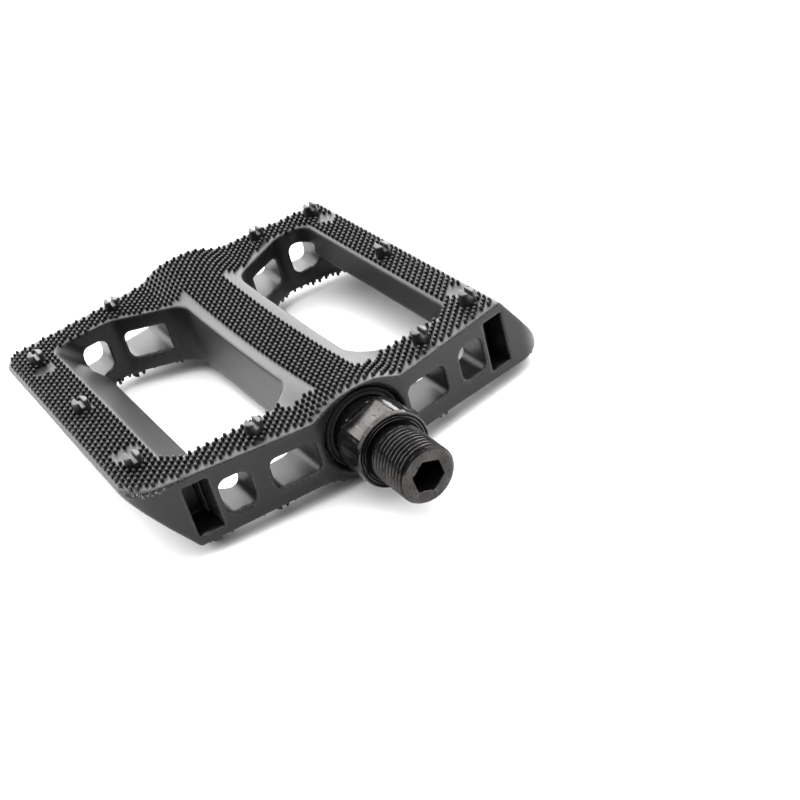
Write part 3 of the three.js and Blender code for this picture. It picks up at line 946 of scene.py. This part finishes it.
def spindle_mesh():
    """The spindle: key socket, thread, flange, flats, collar, shaft and keyed tail."""
    angles = 2 * math.pi * np.arange(SPINDLE_FACETS) / SPINDLE_FACETS
    sixth = math.pi / 3
    hexagon = KEY_HALF / np.cos((angles - math.radians(KEY_TURN) + sixth / 2) % sixth - sixth / 2)
    across = FLATS_HALF / np.maximum(np.abs(np.cos(angles - math.radians(FLATS_TURN))), 1e-3)
    flats = np.minimum(COLLAR_R, across)
    in_keyway = (np.abs(np.cos(angles)) * TAIL_R < KEYWAY_HALF) & (np.sin(angles) > 0)
    tail = np.where(in_keyway, KEYWAY_R, TAIL_R)

    # Key socket and end face
    rows = [(3.6, 0.0), (5.0, 3.3), (5.0, hexagon * 0.985), (13.85, hexagon), (14.0, hexagon + 0.1)]
    rows += [(14.0, 5.6), (14.0, 6.3), LEAD_IN]
    rows += thread_rows(angles)

    # Flange: a recess round the thread, two grooves in its face, and its rounded rim
    rows += [(0.7, 6.36), (0.1, 6.36), (-0.28, 6.5), (-0.3, 7.3), (-0.02, 7.5), (0.0, 7.75), (-0.2, 7.9)]
    rows += [(-0.2, 8.0), (0.0, 8.15), (0.0, 8.5), (-0.22, 8.65), (-0.22, 8.75), (0.0, 8.9), (0.0, 9.15)]
    rows += [(-0.12, 9.3), (-0.35, 9.4), (-1.1, 9.4), (-1.3, COLLAR_R)]

    # Spanner flats, then the collar and the seal's seat
    rows += [(-1.3, flats + 0.12 * (flats < 9.4)), (-1.42, flats), (-9.6, flats)]
    rows += [(-9.8, np.minimum(flats, 9.35)), (-9.95, np.minimum(flats + 0.4, 9.2))]
    rows += [(-10.2, np.minimum(flats + 0.9, 8.6)), (-10.7, 8.25), (-11.4, 8.2), (-16.8, 8.2)]

    # Inboard race, the shaft, and the tail with its keyway
    rows += race(INNER_BALLS, 345, 270)
    rows += [(-23.0, 5.8), (-31.0, 5.3), (-101.8, 4.9), (-101.8, TAIL_R)]
    rows += [(-102.4, tail), (-111.4, tail), (-111.9, tail - 0.5), (-111.9, 0.0)]
    mesh = lathe("spindle_steel", rows, SPINDLE_FACETS)

    # Painted shade, near black and rougher, lies in the thread's root and in the grooves of the flange
    x, y, z = points_of(mesh).T
    around = np.hypot(y, z)
    on_thread = (x > 0.6) & (x < 13.4) & (around > 5)
    on_flange = (np.abs(x) < 0.5) & (around < 9.2)
    painted_shade = np.where(on_thread, (THREAD_CREST - 0.12 - around) / 0.45, 0)
    painted_shade = np.where(on_flange, -x / 0.2, painted_shade)
    add_attribute(mesh, "painted_groove_shade", np.clip(painted_shade, 0, 1))
    return mesh


def seal_mesh():
    """The dust seal: a ring with two soft lips on its outer face."""
    rows = [(-15.3, 8.5), (-15.3, 10.1), (-13.9, 10.1), (-13.55, 9.95), (-13.45, 9.7), (-13.6, 9.5)]
    rows += [(-13.95, 9.4), (-14.0, 9.2), (-13.7, 9.0), (-13.3, 8.85), (-13.2, 8.65), (-13.35, 8.52)]
    rows += [(-13.8, 8.5)]
    return lathe("seal_ring", rows, 96)


def cap_mesh():
    """The hub's end cap: a skirt that goes into the hub, and a slightly domed face."""
    rows = [(-112.7, 0.0), (-112.7, 7.9), (-109.7, 7.9), (-109.7, 9.2), (-113.0, 9.2), (-113.0, 10.6)]
    rows += [(OUTER_FACE_X + 0.45, 10.6), (OUTER_FACE_X + 0.22, 10.52), (OUTER_FACE_X + 0.08, 10.36)]
    for r in np.linspace(10.1, 0.0, 14):
        rows.append((OUTER_FACE_X - 0.08 - 0.62 * (1 - (r / 10.1) ** 2) ** 0.9, float(r)))
    return lathe("hub_cap", rows, 120)


def floor_mesh():
    """A square at the lowest point of the CAD."""
    signs = ((-1, -1), (1, -1), (1, 1), (-1, 1))
    z = CAD_BOX[0][2] / MM
    corners = np.array([(sx * FLOOR_HALF, sy * FLOOR_HALF, z) for sx, sy in signs])
    return mesh_of("floor", corners, [np.array([[0, 1, 2, 3]])])


# ---- the scene ----

make_camera()
make_sky()
area_light("softbox_back", (-0.76, 0.40, 0.60), 1.1, 4.5)
area_light("softbox_top", (0.2, -0.2, 1.0), 0.9, 6)

floor = link_mesh("floor", floor_mesh(), paper("pale_floor"))

body_nylon = nylon("moulded_nylon", (0.0012, 0.0011, 0.0011), (0.0021, 0.0020, 0.0020), 0.41, sheen=0.03)
stud_nylon = nylon("stud_nylon", (0.002, 0.002, 0.002), (0.0033, 0.0033, 0.0033), 0.42)
pin_nylon = nylon("pin_nylon", (0.0033, 0.0033, 0.0033), (0.006, 0.006, 0.006), 0.38)
cap_nylon = nylon("cap_nylon", (0.0046, 0.0046, 0.0046), (0.0066, 0.0066, 0.0066), 0.42)
spindle_steel = steel(
    "blackened_steel", (0.018, 0.0169, 0.0162), (0.0415, 0.0397, 0.0384), 0.15,
    metallic=0.9, brush=0.12, scratch=0.2,
)
bearing_steel = steel(
    "bearing_steel", (0.28, 0.28, 0.29), (0.37, 0.37, 0.37), 0.22,
    metallic=1.0, brush=0.3, scratch=0.0,
)
seal_rubber = rubber("seal_rubber")

# Name, maker, material, the body it rides on, the CAD node it replaces, the name of its material slot
pieces = [
    ("pedal_platform", platform_mesh, body_nylon, "platform_assembly", "platform", "platform_nylon"),
    ("grip_studs", studs_mesh, stud_nylon, "platform_assembly", None, "platform_nylon"),
    ("grip_pins", pins_mesh, pin_nylon, "platform_assembly", None, "platform_nylon"),
    ("seal_ring", seal_mesh, seal_rubber, "platform_assembly", "dust_seal", "seal_rubber"),
    ("hub_cap", cap_mesh, cap_nylon, "platform_assembly", "end_cap", "cap_nylon"),
    ("spindle_steel", spindle_mesh, spindle_steel, "spindle_assembly", "spindle", "black_steel"),
]
for name, make, material, body, node, slot_name in pieces:
    piece = link_mesh(name, make(), material)
    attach(piece, body)
    if node:
        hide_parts(node)

# The CAD nodes that are still shown are all bearing parts
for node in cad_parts.values():
    if not node.hide_render:
        node.data.materials.clear()
        node.data.materials.append(bearing_steel)
